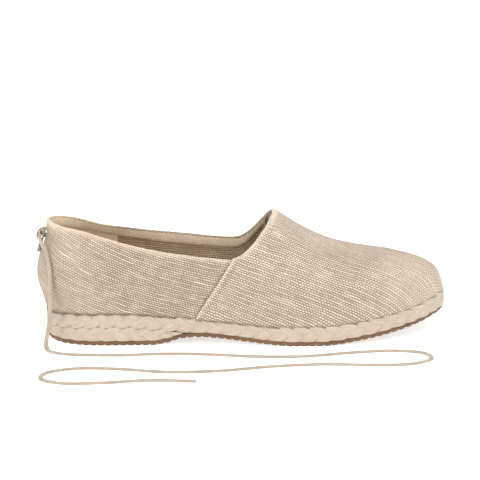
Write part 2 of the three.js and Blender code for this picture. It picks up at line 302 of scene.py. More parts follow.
def directions(line, closed=False):
    if closed:
        run = np.roll(line, -1, 0) - np.roll(line, 1, 0)
    else:
        run = np.gradient(line, axis=0)
    return run / np.linalg.norm(run, axis=1, keepdims=True)


def unit(v):
    return v / np.maximum(np.linalg.norm(v, axis=-1, keepdims=True), 1e-12)


def new_object(name, vertices, faces, uv=None):
    mesh = bpy.data.meshes.new(name)
    mesh.from_pydata([tuple(v) for v in vertices], [], [tuple(f) for f in faces])
    if uv is not None:
        layer = mesh.uv_layers.new(name="cloth")
        layer.data.foreach_set("uv", np.asarray(uv, np.float32).ravel())
    mesh.validate()
    made = bpy.data.objects.new(name, mesh)
    bpy.context.scene.collection.objects.link(made)
    return made


def sweep(name, line, across, outward, outline, closed=False):
    """A closed outline of (across, outward) offsets carried along a line. Each offset may be a number
    or one number for every point of the line."""
    n, m = len(line), len(outline)
    rings = np.stack([line + np.broadcast_to(np.asarray(a), (n,))[:, None] * across
                      + np.broadcast_to(np.asarray(b), (n,))[:, None] * outward
                      for a, b in outline], 1)
    i = np.arange(n if closed else n - 1)[:, None]
    j = np.arange(m)[None, :]
    i2, j2 = (i + 1) % n, (j + 1) % m
    faces = np.stack(np.broadcast_arrays(i * m + j, i2 * m + j, i2 * m + j2, i * m + j2), -1)
    at = travelled(np.vstack([line, line[:1]]) if closed else line)
    girth = travelled(np.vstack([rings[n // 2], rings[n // 2][:1]]))
    u, v = np.broadcast_arrays(at[i], girth[j]), np.broadcast_arrays(at[i + 1], girth[j + 1])
    uv = np.stack([np.stack([u[0], u[1]], -1), np.stack([v[0], u[1]], -1),
                   np.stack([v[0], v[1]], -1), np.stack([u[0], v[1]], -1)], -2).reshape(-1, 2)
    faces = [list(f) for f in faces.reshape(-1, 4)]
    if not closed:
        faces += [list(range(m))[::-1], list(range((n - 1) * m, n * m))]
        uv = np.vstack([uv, np.zeros((2 * m, 2))])
    made = new_object(name, rings.reshape(-1, 3), faces, uv)
    recalculate(made)
    smooth_shading(made, 50)
    return made


def only(*objects):
    """These objects selected and nothing else, the first one active."""
    if bpy.context.mode != "OBJECT":
        bpy.ops.object.mode_set(mode="OBJECT")
    bpy.ops.object.select_all(action="DESELECT")
    for o in objects:
        o.select_set(True)
    bpy.context.view_layer.objects.active = objects[0]


@contextmanager
def editing(o):
    """Edit mode on one object, with all of it selected."""
    only(o)
    bpy.ops.object.mode_set(mode="EDIT")
    bpy.ops.mesh.select_all(action="SELECT")
    yield
    bpy.ops.object.mode_set(mode="OBJECT")


def recalculate(o):
    with editing(o):
        bpy.ops.mesh.normals_make_consistent(inside=False)


def smooth_shading(o, degrees):
    only(o)
    bpy.ops.object.shade_smooth_by_angle(angle=math.radians(degrees))


def add_to_shoe(o, node=None):
    """Every piece rides on the shoe's one body, and some stand for a node of the CAD model."""
    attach(o, "root")
    if node:
        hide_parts(node)


def triangles(o):
    return sum(len(p.vertices) - 2 for p in o.data.polygons)


def tell_size(o):
    print(o.name, "has", triangles(o), "triangles")


# %% [markdown]
# ## The ankle tie
#
# The tie is one long flat suede lace, 3.2 mm wide and half as thick, threaded through the heel's
# loop, so it shows as two halves. Worn, it is wound round an ankle. With no foot in the shoe each
# half falls over its own side of the heel and lies on the floor there. A half is a mesh swept along
# its route: a flat section has to keep its broad side down on the floor, and against the heel as it
# falls, which a bevelled curve would not do by itself.

# %% Tie routes
LACE_WIDTH, LACE_THICKNESS = 3.2 * MM, 1.5 * MM
LACE_ON_FLOOR = 0.8 * MM                # its middle over the floor
HEEL_MIDDLE = (-92.6 * MM, 0, 0)        # the round heel's centre, seen from above

DROP = [(-129, 0.2, 67.3), (-129, 4.8, 67.2), (-128.9, 9, 66.8), (-127, 13.2, 64),
        (-124.3, 17.4, 60.2), (-122.6, 21.4, 55.1), (-121.5, 24.8, 48.8),
        (-121.3, 26.6, 41), (-121.6, 27.6, 30), (-122.4, 28.6, 19), (-124, 31, 9),
        (-124.6, 35.4, 3.6), (-123.6, 39.6, 1.2)]
LATERAL_RUN = [
    (-119.5, -45.4), (-111, -50.5), (-95, -54), (-76, -56), (-48, -55),
    (-20, -59), (8, -66), (38, -68), (68, -62), (94, -60), (112, -67), (115, -80), (103, -90),
    (80, -91), (50, -87), (18, -89), (-14, -96), (-46, -96), (-76, -87), (-102, -84), (-119, -92),
    (-121, -105), (-108, -115), (-84, -116), (-56, -113), (-28, -117)]
MEDIAL_RUN = [
    (-118.5, 44.4), (-109, 47.5), (-92, 49), (-64, 47), (-36, 45),
    (-8, 52), (20, 62), (50, 66), (80, 62), (104, 64), (118, 74), (114, 88), (95, 95), (66, 91),
    (36, 85), (4, 78), (-28, 73), (-60, 74), (-90, 73), (-112, 78), (-120, 90), (-110, 101),
    (-86, 103), (-56, 98), (-28, 97)]


def lace_route(side, run):
    drop = [(x, side * y, z) for x, y, z in DROP]
    return np.array(drop + [(x, y, LACE_ON_FLOOR / MM) for x, y in run]) * MM


def lace(name, side, run):
    line = evenly(smooth_line(lace_route(side, run)), 1.6 * MM)
    along = directions(line)
    low = np.clip((14 * MM - line[:, 2]) / (12 * MM), 0, 1)[:, None]
    from_heel = unit((line - np.array(HEEL_MIDDLE)) * [1, 1, 0])
    faces_out = unit((1 - low) * from_heel + low * np.array([[0, 0, 1.0]]))
    across = unit(np.cross(along, faces_out))
    outward = np.cross(across, along)
    half, thick = LACE_WIDTH / 2, LACE_THICKNESS / 2
    corners = [(0.62, 1), (0.9, 0.62), (1, 0), (0.9, -0.62), (0.62, -1), (0, -1.0),
               (-0.62, -1), (-0.9, -0.62), (-1, 0), (-0.9, 0.62), (-0.62, 1), (0, 1.0)]
    made = sweep(name, line, across, outward, [(a * half, b * thick) for a, b in corners])
    length = travelled(line)[-1]
    print(name, "is", round(length, 4), "m long,", triangles(made), "triangles")
    return made, line, length


lateral_lace, lateral_line, lateral_length = lace("lace_lateral", -1, LATERAL_RUN)
medial_lace, medial_line, medial_length = lace("lace_medial", 1, MEDIAL_RUN)
for piece, node, line, length in (
    (lateral_lace, "tie_lateral", lateral_line, lateral_length),
    (medial_lace, "tie_medial", medial_line, medial_length),
):
    add_to_shoe(piece, node)


# %% [markdown]
# ## Cloth from the CAD skins
#
# The CAD upper is one closed shell with an outer skin, an inner skin and a rim between them at the
# collar. A copy of it is merged back into four-cornered faces, its skins are picked out by flooding
# from one face up to a sharp edge, and each skin becomes a pattern piece. A subdivision surface then
# rounds it as a last rounds cloth.

# %% Copies and skins
def cad_copy(node, name):
    """A copy of a CAD node with its loose triangles merged into quads."""
    made = bpy.data.objects.new(name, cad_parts[node].data.copy())
    bpy.context.scene.collection.objects.link(made)
    made.data.materials.clear()
    only(made)
    if made.data.has_custom_normals:
        bpy.ops.mesh.customdata_custom_splitnormals_clear()
    with editing(made):
        bpy.ops.mesh.remove_doubles(threshold=0.002 * MM)
        bpy.ops.mesh.tris_convert_to_quads(face_threshold=math.radians(60),
                                           shape_threshold=math.radians(70))
    return made


def face_table(o):
    """Every face's middle and normal, as two arrays."""
    faces = o.data.polygons
    middles, normals = np.empty(len(faces) * 3), np.empty(len(faces) * 3)
    faces.foreach_get("center", middles)
    faces.foreach_get("normal", normals)
    return middles.reshape(-1, 3), normals.reshape(-1, 3)


def select_faces(o, chosen):
    """Leaves o in edit mode with just these faces selected."""
    only(o)
    bpy.ops.object.mode_set(mode="EDIT")
    bpy.ops.mesh.select_mode(type="FACE")
    bpy.ops.mesh.select_all(action="DESELECT")
    bpy.ops.object.mode_set(mode="OBJECT")
    o.data.polygons.foreach_set("select", np.asarray(chosen, bool))
    bpy.ops.object.mode_set(mode="EDIT")


def delete_faces(o, chosen):
    select_faces(o, chosen)
    bpy.ops.mesh.delete(type="FACE")
    bpy.ops.object.mode_set(mode="OBJECT")


def flood(o, seed, sharpness):
    """The faces that are reached from one face without passing an edge sharper than this."""
    chosen = np.zeros(len(o.data.polygons), bool)
    chosen[seed] = True
    select_faces(o, chosen)
    bpy.ops.mesh.faces_select_linked_flat(sharpness=sharpness)
    bpy.ops.object.mode_set(mode="OBJECT")
    o.data.polygons.foreach_get("select", chosen)
    return chosen


LOW_OF_COLLAR = 45 * MM                 # the foot opening's edge lies wholly above this


def upper_skin(name, inner=False, with_rim=False):
    o = cad_copy("upper", name)
    middles, normals = face_table(o)
    waist = (abs(middles[:, 0]) < 12 * MM) & (abs(middles[:, 2] - 35 * MM) < 6 * MM)
    waist &= middles[:, 1] < 0
    outside = flood(o, np.flatnonzero(waist & (normals[:, 1] < -0.5))[0], math.radians(50))
    inside = flood(o, np.flatnonzero(waist & (normals[:, 1] > 0.5))[0], math.radians(50))
    rim = ~outside & ~inside & (middles[:, 2] > LOW_OF_COLLAR)
    keep = inside if inner else outside
    delete_faces(o, ~(keep | rim if with_rim else keep))
    return o


def add_modifier(o, kind, **settings):
    """Adds a modifier and applies it."""
    only(o)
    made = o.modifiers.new(kind.lower(), kind)
    for name, value in settings.items():
        setattr(made, name, value)
    bpy.ops.object.modifier_apply(modifier=made.name)


def bevel_edges(o, width, segments, degrees):
    """Rounds the edges that are sharper than this."""
    add_modifier(o, "BEVEL", width=width, segments=segments, limit_method="ANGLE",
                 angle_limit=math.radians(degrees))


def round_off(o, levels=2):
    add_modifier(o, "SUBSURF", levels=levels, render_levels=levels)


def cut_away(o, place, normal):
    """Bisects a piece and drops the side that the normal points to."""
    with editing(o):
        bpy.ops.mesh.bisect(plane_co=place, plane_no=normal, clear_outer=True, use_fill=False)


def mesh_arrays(o):
    count = len(o.data.vertices)
    places, normals = np.empty(count * 3), np.empty(count * 3)
    o.data.vertices.foreach_get("co", places)
    o.data.vertex_normals.foreach_get("vector", normals)
    return places.reshape(-1, 3), normals.reshape(-1, 3)


def place_vertices(o, places):
    o.data.vertices.foreach_set("co", places.ravel())
    o.data.update()


def smoothly(value, low, high):
    share = np.clip((value - low) / (high - low), 0, 1)
    return share * share * (3 - 2 * share)


# %% [markdown]
# ## The line of the sole
#
# Braid, stitches and puckers all run round the sole, so they share one ruler: how far a place is from
# the heel's back, measured along the sole's edge. It is read from the corners of the CAD midsole.

# %% Rails round a sole layer
CORNER_INSET = 1.5 * MM                 # the CAD layer's top and bottom corners lie this far in


def corner_line(o, top):
    """The corner points round a sole layer's top or bottom, from its outer front round its heel."""
    bm = bmesh.new()
    bm.from_mesh(o.data)
    flat = {f for f in bm.faces if (f.normal.z if top else -f.normal.z) > 0.85}
    front = max(v.co.x for v in bm.verts) - 0.4 * MM
    steps = {}
    for edge in bm.edges:
        a, b = edge.verts
        if sum(f in flat for f in edge.link_faces) != 1:
            continue
        if o.name.startswith("lift") and a.co.x > front and b.co.x > front:
            continue
        steps.setdefault(a, []).append(b)
        steps.setdefault(b, []).append(a)
    ends = [v for v in steps if len(steps[v]) == 1]
    start = min(ends, key=lambda v: v.co.y) if ends else min(steps, key=lambda v: v.co.x)
    line, seen = [start], {start}
    while True:
        onward = sorted((v for v in steps[line[-1]] if v not in seen), key=lambda v: v.co.y)
        if not onward:
            break
        line.append(onward[0])
        seen.add(onward[0])
    line = np.array([v.co[:] for v in line])
    bm.free()
    return line


def rail(node, name, step=1.1 * MM):
    """A sole layer's outline: its points, outward directions, and bottom and top heights, and the
    distance of each point from the heel's back."""
    copy = cad_copy(node, name)
    closed = not name.startswith("lift")
    low, high = corner_line(copy, False), corner_line(copy, True)
    bpy.data.objects.remove(copy)
    near = np.array([np.argmin(np.linalg.norm(low[:, :2] - p[:2], axis=1)) for p in high])
    columns = np.column_stack([high[:, :2], low[near, 2], high[:, 2]])
    line = evenly(smooth_line(columns, closed, fine=10), step, closed)
    flat = np.column_stack([line[:, :2], np.zeros(len(line))])
    run = directions(flat, closed)
    out = np.column_stack([run[:, 1], -run[:, 0], np.zeros(len(line))])
    if (out * flat).sum() < 0:
        out = -out
    at = travelled(flat)
    return {"line": flat + out * CORNER_INSET, "out": out, "low": line[:, 2], "high": line[:, 3],
            "at": at - at[np.argmin(line[:, 0])], "closed": closed}


midsole_rail = rail("midsole", "midsole_copy")
lift_rail = rail("heel_lift", "lift_copy")
SOLE_GIRTH = travelled(np.vstack([midsole_rail["line"], midsole_rail["line"][:1]]))[-1]
print("round the midsole", round(SOLE_GIRTH, 4), "m; round the lift",
      round(travelled(lift_rail["line"])[-1], 4), "m")

BRAID_PITCH = SOLE_GIRTH / round(SOLE_GIRTH / (10 * MM))      # from one V of the plait to the next


def beside_sole(places):
    """For each place, its distance from the heel's back along the sole's edge, the outward direction
    there and its height over the top of the braid."""
    line = midsole_rail["line"]
    nearest = np.concatenate([
        np.argmin(((part[:, None, :2] - line[None, :, :2]) ** 2).sum(-1), 1)
        for part in np.array_split(places, max(1, len(places) // 2000))])
    return (midsole_rail["at"][nearest], midsole_rail["out"][nearest],
            places[:, 2] - midsole_rail["high"][nearest])


# %% [markdown]
# ## The linen upper
#
# Two panels make the upper. The quarter wraps the heel and both sides, and the vamp covers the toes
# and instep. The vamp's edge is folded under and laid over the quarter along a straight slanting
# seam on each side, so the seam shows as a soft step. One plane cuts both sides. Both panels get a
# gentle unevenness, the folds that come from lasting, and puckers where the linen is sewn down to
# the braid.

# %% Shapes that cloth takes
SEAM_AT = Vector((-5.6, 0, 54)) * MM                    # the throat's corner on the outer side
SEAM_NORMAL = Vector((37, 0, -24.5)).normalized()       # towards the toe
UNDERLAP = 5 * MM                                       # of the quarter under the vamp
HEEL_BACK = -100 * MM                                   # only the heel's back lies behind this

CREASES = [   # from, to (x, y, z in mm), depth and half-width in mm: a trough, or a ridge if negative
    ((6, -30, 66), (20, -42, 38), 0.45, 3.4),
    ((14, -24, 70), (34, -40, 44), -0.35, 4.0),
    ((26, -18, 66), (60, -38, 40), 0.35, 4.5),
    ((-18, -39, 50), (-34, -39, 34), 0.3, 4.0),
    ((-60, -32, 60), (-92, -34, 34), 0.45, 5.0),
    ((-92, -28, 66), (-112, -24, 38), -0.4, 4.5),
    ((6, 30, 66), (22, 42, 38), 0.45, 3.6),
    ((16, 22, 68), (44, 38, 42), -0.35, 4.2),
    ((-58, 28, 60), (-90, 31, 34), 0.45, 5.0),
    ((-96, 26, 66), (-114, 20, 38), -0.4, 4.5),
    ((66, -26, 48), (88, -34, 32), 0.25, 4.5),
    ((64, 24, 48), (90, 31, 32), 0.25, 4.5),
    ((22, -8, 74), (40, -6, 66), 0.25, 3.5),
]


def from_seam(places):
    return (places - np.array(SEAM_AT)) @ np.array(SEAM_NORMAL)


def crease_depth(places):
    total = np.zeros(len(places))
    for start, end, depth, width in CREASES:
        a, b = np.array(start) * MM, np.array(end) * MM
        run = b - a
        share = np.clip((places - a) @ run / (run @ run), 0, 1)
        gap = np.linalg.norm(places - a - share[:, None] * run, axis=1)
        fade = np.sin(np.pi * (0.12 + 0.76 * share))
        total += depth * MM * fade * np.exp(-((gap / (width * MM)) ** 2))
    return total


def unevenness(places, size, depth):
    return depth * np.array([noise.noise(Vector(p) / size + Vector((3.1, 7.7, 1.3))) for p in places])


PUCKER_REACH = 5.5 * MM                 # how far up from the braid the cloth is drawn


def pucker_wave(at):
    """From -1 to 1 and back with each stitch that gathers the linen down to the braid."""
    return np.cos(2 * np.pi * at / BRAID_PITCH + 1.7 * np.sin(at / (31 * MM)))


def mould(places, normals):
    """Linen as it sits on the shoe: uneven, creased, and drawn out and down over the braid's top in
    soft puckers."""
    moved = places + normals * (unevenness(places, 22 * MM, 0.45 * MM)
                                + unevenness(places, 7 * MM, 0.16 * MM)
                                - crease_depth(places))[:, None]
    at, out, high = beside_sole(places)
    near = np.exp(-((np.maximum(high, 0) / PUCKER_REACH) ** 2))
    wave = pucker_wave(at)
    wander = unevenness(np.column_stack([at, 0 * at, 0 * at]), 9 * MM, 1.0)
    moved += out * (near * (1.2 * MM + 0.15 * MM * wave + 0.15 * MM * wander))[:, None]
    moved[:, 2] -= near * (0.9 * MM + 0.2 * MM * wave + 0.25 * MM * wander)
    return moved


def sole_shade(places):
    """1 along the linen's lower edge, coming and going with the puckers, and 0 over a millimetre up:
    where a painted shadow line lies under the linen's edge.
    """
    at, _, high = beside_sole(places)
    return np.exp(-((np.maximum(high, 0) / (0.9 * MM)) ** 2)) * (0.75 + 0.25 * pucker_wave(at))


def keep_value(o, name, values):
    """Keeps one number on every vertex, for a material to read."""
    layer = o.data.attributes.new(name, "FLOAT", "POINT")
    layer.data.foreach_set("value", np.asarray(values, np.float32))


def top_glow(o):
    """1 on a skin's folded top edge, fading over a couple of millimetres below it, where a painted
    highlight is laid.
    """
    bm = bmesh.new()
    bm.from_mesh(o.data)
    rim = [v.co.copy() for v in bm.verts if v.is_boundary and v.co.z > LOW_OF_COLLAR
           and (o.name == "lining" or
                from_seam(np.array([v.co[:]]))[0] * (1 if o.name == "vamp" else -1) > 1.2 * MM)]
    bm.free()
    tree = KDTree(len(rim))
    for i, place in enumerate(rim):
        tree.insert(place, i)
    tree.balance()
    gap = np.array([tree.find(v.co)[2] for v in o.data.vertices])
    return np.exp(-((gap / (2.6 * MM)) ** 2))


# %% UV maps in metres
def lay_cloth(o, islands, bend=0.0, bend_from=0.0, lean=0.0):
    """Unwraps a panel, then turns and scales each island so that its threads lie as asked. An island
    is (which vertices, the flat coordinates they should have, how much each counts). The threads
    curve by bend from one place along the panel to its end and the warp leans, as cloth does that is
    drawn tight."""
    while o.data.uv_layers:
        o.data.uv_layers.remove(o.data.uv_layers[0])
    o.data.uv_layers.new(name="cloth")
    with editing(o):
        bpy.ops.uv.unwrap(method="ANGLE_BASED", margin=0.02)
    count = len(o.data.loops)
    uv, corner = np.empty(count * 2), np.empty(count, int)
    o.data.uv_layers["cloth"].data.foreach_get("uv", uv)
    o.data.loops.foreach_get("vertex_index", corner)
    uv = uv.reshape(-1, 2)
    flat = uv[:, 0] + 1j * uv[:, 1]
    for k, (chosen, target, weight) in enumerate(islands):
        mask = chosen[corner]
        here, wanted = flat[mask], (target[:, 0] + 1j * target[:, 1])[corner][mask]
        share = weight[corner][mask]
        share = share / share.sum()
        best = None
        for shape in (here, here.conj()):
            a, b = shape - (share * shape).sum(), wanted - (share * wanted).sum()
            factor = (share * b * a.conj()).sum() / (share * abs(a) ** 2).sum()
            miss = (share * abs(b - factor * a) ** 2).sum()
            if best is None or miss < best[0]:
                best = (miss, factor * a + (share * wanted).sum())
        laid = best[1]
        curved = laid - 1j * bend * np.minimum(0, laid.real - bend_from) ** 2
        flat[mask] = curved + lean * curved.imag + 0.31 * k
        print(o.name, "cloth island", k, "lies within", round(1000 * math.sqrt(best[0]), 2), "mm")
    uv = np.column_stack([flat.real, flat.imag])
    o.data.uv_layers["cloth"].data.foreach_set("uv", uv.astype(np.float32).ravel())


def mark_heel_seam(o):
    """The cloth's edge down the middle of the heel, where unwrapping cuts it."""
    for edge in o.data.edges:
        a, b = (o.data.vertices[i].co for i in edge.vertices)
        edge.use_seam = max(a.x, b.x) < HEEL_BACK and max(abs(a.y), abs(b.y)) < 0.4 * MM


def turned(first, second, angle):
    c, s = math.cos(angle), math.sin(angle)
    return np.column_stack([first * c - second * s, first * s + second * c])


# %% Quarter
quarter = upper_skin("quarter", with_rim=True)
round_off(quarter)
cut_away(quarter, SEAM_AT + SEAM_NORMAL * UNDERLAP, SEAM_NORMAL)
mark_heel_seam(quarter)
places, normals = mesh_arrays(quarter)
GRAIN = math.radians(11)                # the quarter's threads run down towards the toe
side_weight = np.exp(-(((places[:, 0] + 45 * MM) / (40 * MM)) ** 2))
lay_cloth(quarter, [
    (places[:, 1] < 0, turned(places[:, 0], places[:, 2], GRAIN), side_weight),
    (places[:, 1] >= 0, turned(places[:, 0], places[:, 2], GRAIN), side_weight),
], bend=1.5, bend_from=-0.02, lean=-0.25)
moved = mould(places, normals)
under = smoothly(from_seam(places), -2.2 * MM, 0.6 * MM)
back_seam = np.exp(-((places[:, 1] / (0.8 * MM)) ** 2)) * (places[:, 0] < HEEL_BACK)
moved -= normals * (0.55 * MM * under + 0.55 * MM * back_seam)[:, None]
place_vertices(quarter, moved)
# Painted light kept on the quarter: a painted highlight along its folded top edge, painted shade just
# behind the vamp's seam and in the heel seam's groove, and a painted shadow line along its lower edge
# over the braid.
keep_value(quarter, "painted_light", 0.9 * top_glow(quarter)
           - 0.4 * smoothly(from_seam(places), -3.0 * MM, -0.3 * MM) - 0.6 * back_seam
           - 1.9 * sole_shade(places))
add_modifier(quarter, "SOLIDIFY", thickness=0.6 * MM, offset=-1)
tell_size(quarter)

# %% Vamp
vamp = upper_skin("vamp", with_rim=True)
round_off(vamp)
cut_away(vamp, SEAM_AT, -SEAM_NORMAL)
places, normals = mesh_arrays(vamp)
top_weight = np.exp(-((places[:, 1] / (14 * MM)) ** 2) - ((places[:, 0] - 55 * MM) / (25 * MM)) ** 2)
lay_cloth(vamp, [(places[:, 0] > -1, places[:, :2].copy(), top_weight)])
ahead = from_seam(places)
fold = np.exp(-((ahead / (2.4 * MM)) ** 2)) - 0.5 * np.exp(-((ahead / (0.6 * MM)) ** 2))
moved = mould(places, normals) + normals * (0.2 * MM + 0.5 * MM * fold)[:, None]
place_vertices(vamp, moved)
# Painted light kept on the vamp: a painted highlight along its folded top edge and along the seam's
# fold, a faint band of painted shade on the fold's toe side, and a painted shadow line along its lower
# edge over the braid.
keep_value(vamp, "painted_light", np.maximum(0.9 * top_glow(vamp), 0.6 * np.exp(-((ahead / (1.6 * MM)) ** 2)))
           - 0.25 * np.exp(-(((ahead - 3.4 * MM) / (1.0 * MM)) ** 2)) - 1.9 * sole_shade(places))
add_modifier(vamp, "SOLIDIFY", thickness=1.1 * MM, offset=-1)
tell_size(vamp)

# %% Lining
THROAT_SINK = 1.1 * MM


def sink_at_throat(o):
    """Brings the lining further into the shoe under the throat's edge, where the vamp turns sharply."""
    places, normals = mesh_arrays(o)
    share = smoothly(places[:, 0], -4 * MM, 8 * MM) * smoothly(places[:, 2], 54 * MM, 68 * MM)
    place_vertices(o, places + normals * (THROAT_SINK * share)[:, None])


lining = upper_skin("lining", inner=True)
round_off(lining)
sink_at_throat(lining)
mark_heel_seam(lining)
places, normals = mesh_arrays(lining)
lay_cloth(lining, [(places[:, 0] > -1, turned(places[:, 0], places[:, 2], 0.1),
                    np.exp(-(((places[:, 0] + 45 * MM) / (40 * MM)) ** 2)) * (places[:, 1] > 0))])
# A painted highlight along the lining's folded top edge.
keep_value(lining, "painted_light", 1.2 * top_glow(lining))
place_vertices(lining, places + normals * (unevenness(places, 26 * MM, 0.4 * MM) - 0.1 * MM)[:, None])
add_modifier(lining, "SOLIDIFY", thickness=0.5 * MM, offset=-1)
tell_size(lining)

for piece, node in ((quarter, "upper"), (vamp, None), (lining, None)):
    smooth_shading(piece, 50)
    add_to_shoe(piece, node)


# %% [markdown]
# ## The collar's binding
#
# A smooth satin tape covers the raw edges inside the collar and runs on up both sides of the throat.
# It is a narrow ribbon that hugs the lining: each of its points is stepped down from the top edge and
# then dropped onto the lining's nearest place. Up the throat it narrows, because the edge turns
# sharply at the top. A line of stitches holds each of its edges.

# %% Binding tape
def top_edge(o):
    """The collar and throat edge of a skin as an ordered closed line, with the directions into the
    cloth at each point."""
    bm = bmesh.new()
    bm.from_mesh(o.data)
    border = {v for v in bm.verts if v.is_boundary and v.co.z > LOW_OF_COLLAR}
    start = min(border, key=lambda v: v.co.x)
    line, seen = [start], {start}
    while True:
        onward = [e.other_vert(line[-1]) for e in line[-1].link_edges if e.is_boundary]
        onward = sorted((v for v in onward if v in border and v not in seen), key=lambda v: v.co.y)
        if not onward:
            break
        line.append(onward[0])
        seen.add(onward[0])
    into = [sum(((e.other_vert(v).co - v.co).normalized() for e in v.link_edges
                 if not e.is_boundary), Vector()) for v in line]
    line, into = np.array([v.co[:] for v in line]), np.array([v[:] for v in into])
    bm.free()
    return line, into


inner_skin = upper_skin("inner_skin", inner=True)
round_off(inner_skin)
sink_at_throat(inner_skin)
edge_line, edge_into = top_edge(inner_skin)
columns = evenly(np.hstack([edge_line, edge_into]), 1.6 * MM, closed=True)
edge_line = columns[:, :3]
edge_run = directions(edge_line, closed=True)
edge_down = unit(columns[:, 3:] - edge_run * (columns[:, 3:] * edge_run).sum(1, keepdims=True))
for _ in range(6):
    edge_down = unit(edge_down + np.roll(edge_down, 1, 0) + np.roll(edge_down, -1, 0))
print("collar edge", round(travelled(edge_line)[-1], 3), "m round,", len(edge_line), "points")

inner_tree = BVHTree.FromObject(inner_skin, bpy.context.evaluated_depsgraph_get())


def on_lining(points, lift):
    """Points dropped onto the lining and lifted off it into the shoe, and the lining's normals."""
    found = [inner_tree.find_nearest(Vector(p)) for p in points]
    normals = np.array([hit[1][:] for hit in found])
    return np.array([hit[0][:] for hit in found]) + normals * lift, normals


TAPE_WIDTH, TAPE_DROP = 6.6 * MM, 1.3 * MM        # the folded linen shows above the tape
TAPE_ROWS = 8
narrow = (1 - 0.5 * smoothly(edge_line[:, 0], -4 * MM, 8 * MM)
          - 0.2 * smoothly(edge_line[:, 0], 6 * MM, 13 * MM))[:, None]    # up the throat's sides
rows = []
for k in range(TAPE_ROWS):
    share = k / (TAPE_ROWS - 1)
    belly = 0.25 * MM * math.sin(math.pi * share)
    down = edge_down * (TAPE_WIDTH * share * narrow + TAPE_DROP)
    rows.append(on_lining(edge_line + down, 0.3 * MM + belly)[0])
count = len(edge_line)
faces, tape_uv = [], []
at = travelled(np.vstack([edge_line, edge_line[:1]]))
for k in range(TAPE_ROWS - 1):
    above, below = (TAPE_WIDTH * (k + step) / (TAPE_ROWS - 1) for step in (0, 1))
    for i in range(count):
        j = (i + 1) % count
        faces.append([k * count + i, k * count + j, (k + 1) * count + j, (k + 1) * count + i])
        tape_uv += [(at[i], above), (at[i + 1], above), (at[i + 1], below), (at[i], below)]
binding = new_object("collar_binding", np.vstack(rows), faces, tape_uv)
recalculate(binding)
middles, normals = face_table(binding)
if (normals * on_lining(middles, 0)[1]).sum() < 0:
    with editing(binding):
        bpy.ops.mesh.flip_normals()
add_modifier(binding, "SOLIDIFY", thickness=0.45 * MM, offset=-1)
round_off(binding, 1)
tell_size(binding)


# %% Stitches
def thread_stitch(length, thick):
    """One short stitch along X: a rounded bead, drawn out and sunk at both ends."""
    bpy.ops.object.select_all(action="DESELECT")
    bpy.ops.mesh.primitive_uv_sphere_add(segments=8, ring_count=6, radius=1)
    o = bpy.context.object
    with editing(o):
        bpy.ops.transform.rotate(value=math.radians(90), orient_axis="Y", center_override=(0, 0, 0))
        bpy.ops.transform.resize(value=(length / 2, thick / 2, thick / 2), center_override=(0, 0, 0))
    places, _ = mesh_arrays(o)
    places[:, 2] -= 0.5 * thick * (places[:, 0] / (length / 2)) ** 2
    corners = [list(p.vertices) for p in o.data.polygons]
    bpy.data.objects.remove(o)
    return places, corners


def stitch_row(name, one, line, run, out, gap):
    """Copies of one stitch round a closed line, each turned to its direction and laid on its
    surface."""
    stitch, corners = one
    at = travelled(np.vstack([line, line[:1]]))
    count = int(at[-1] / gap)
    vertices, faces = [], []
    for k in range(count):
        i = int(np.searchsorted(at, (k + 0.5) * gap)) % len(line)
        x, z = unit(run[i]), unit(out[i] - run[i] * (out[i] @ run[i]))
        basis = np.stack([x, np.cross(z, x), z])
        faces += [[c + len(stitch) * k for c in corner] for corner in corners]
        vertices.append(stitch @ basis + line[i])
    made = new_object(name, np.vstack(vertices), faces)
    made.data.polygons.foreach_set("use_smooth", [True] * len(made.data.polygons))
    print(name, count, "stitches,", triangles(made), "triangles")
    return made


tape_rows = []
for name, down, lift, length, thick, gap in (
    ("upper", TAPE_DROP - 0.1 * MM, 0.3 * MM, 1.4 * MM, 0.4 * MM, 2.9 * MM),
    ("lower", TAPE_DROP - 1.2 * MM + TAPE_WIDTH * narrow, 0.6 * MM, 1.3 * MM, 0.4 * MM, 1.8 * MM),
):
    stitch_line, stitch_out = on_lining(edge_line + edge_down * down, lift)
    tape_rows.append(stitch_row(f"binding_{name}_stitches", thread_stitch(length, thick), stitch_line,
                                directions(stitch_line, closed=True), stitch_out, gap))


# %% [markdown]
# Inside the heel, under the tape, a smooth facing covers the lining where the foot slides in. It is
# the lining's own skin, bisected where the facing ends and set off from it by its thickness.

# %% Heel facing
FACING_END = -81 * MM
heel_facing = inner_skin
heel_facing.name = "heel_facing"
cut_away(heel_facing, (FACING_END, 0, 0), (1, 0, 0))
places, normals = mesh_arrays(heel_facing)
over_lining = unevenness(places, 26 * MM, 0.4 * MM) + 0.12 * MM
place_vertices(heel_facing, places + normals * over_lining[:, None])
add_modifier(heel_facing, "SOLIDIFY", thickness=0.5 * MM, offset=-1)
tell_size(heel_facing)
for piece in (binding, heel_facing, *tape_rows):
    smooth_shading(piece, 60)
    add_to_shoe(piece)


# %% [markdown]
# ## The jute braid
#
# The sole's side is a flat plait of three jute strands that runs round the shoe once, with a second
# round under the heel. A strand's middle swings up and down once while it sways in and out twice, and
# the three strands are a third of a round apart, which is what a plait is. A texture could only
# suggest that, so the strands are swept as real tubes, their swing and thickness scaled to the
# height that the CAD layer leaves. Behind them a core fills the sole.

# %% Plait
STRAND_HALF_WIDTH, STRAND_HALF_DEPTH = 2.9 * MM, 1.0 * MM
SWAY = 0.42 * MM                        # how far a strand goes in and out
ROW = 9.2 * MM
EDGE_ROUNDING = 0.12 * MM


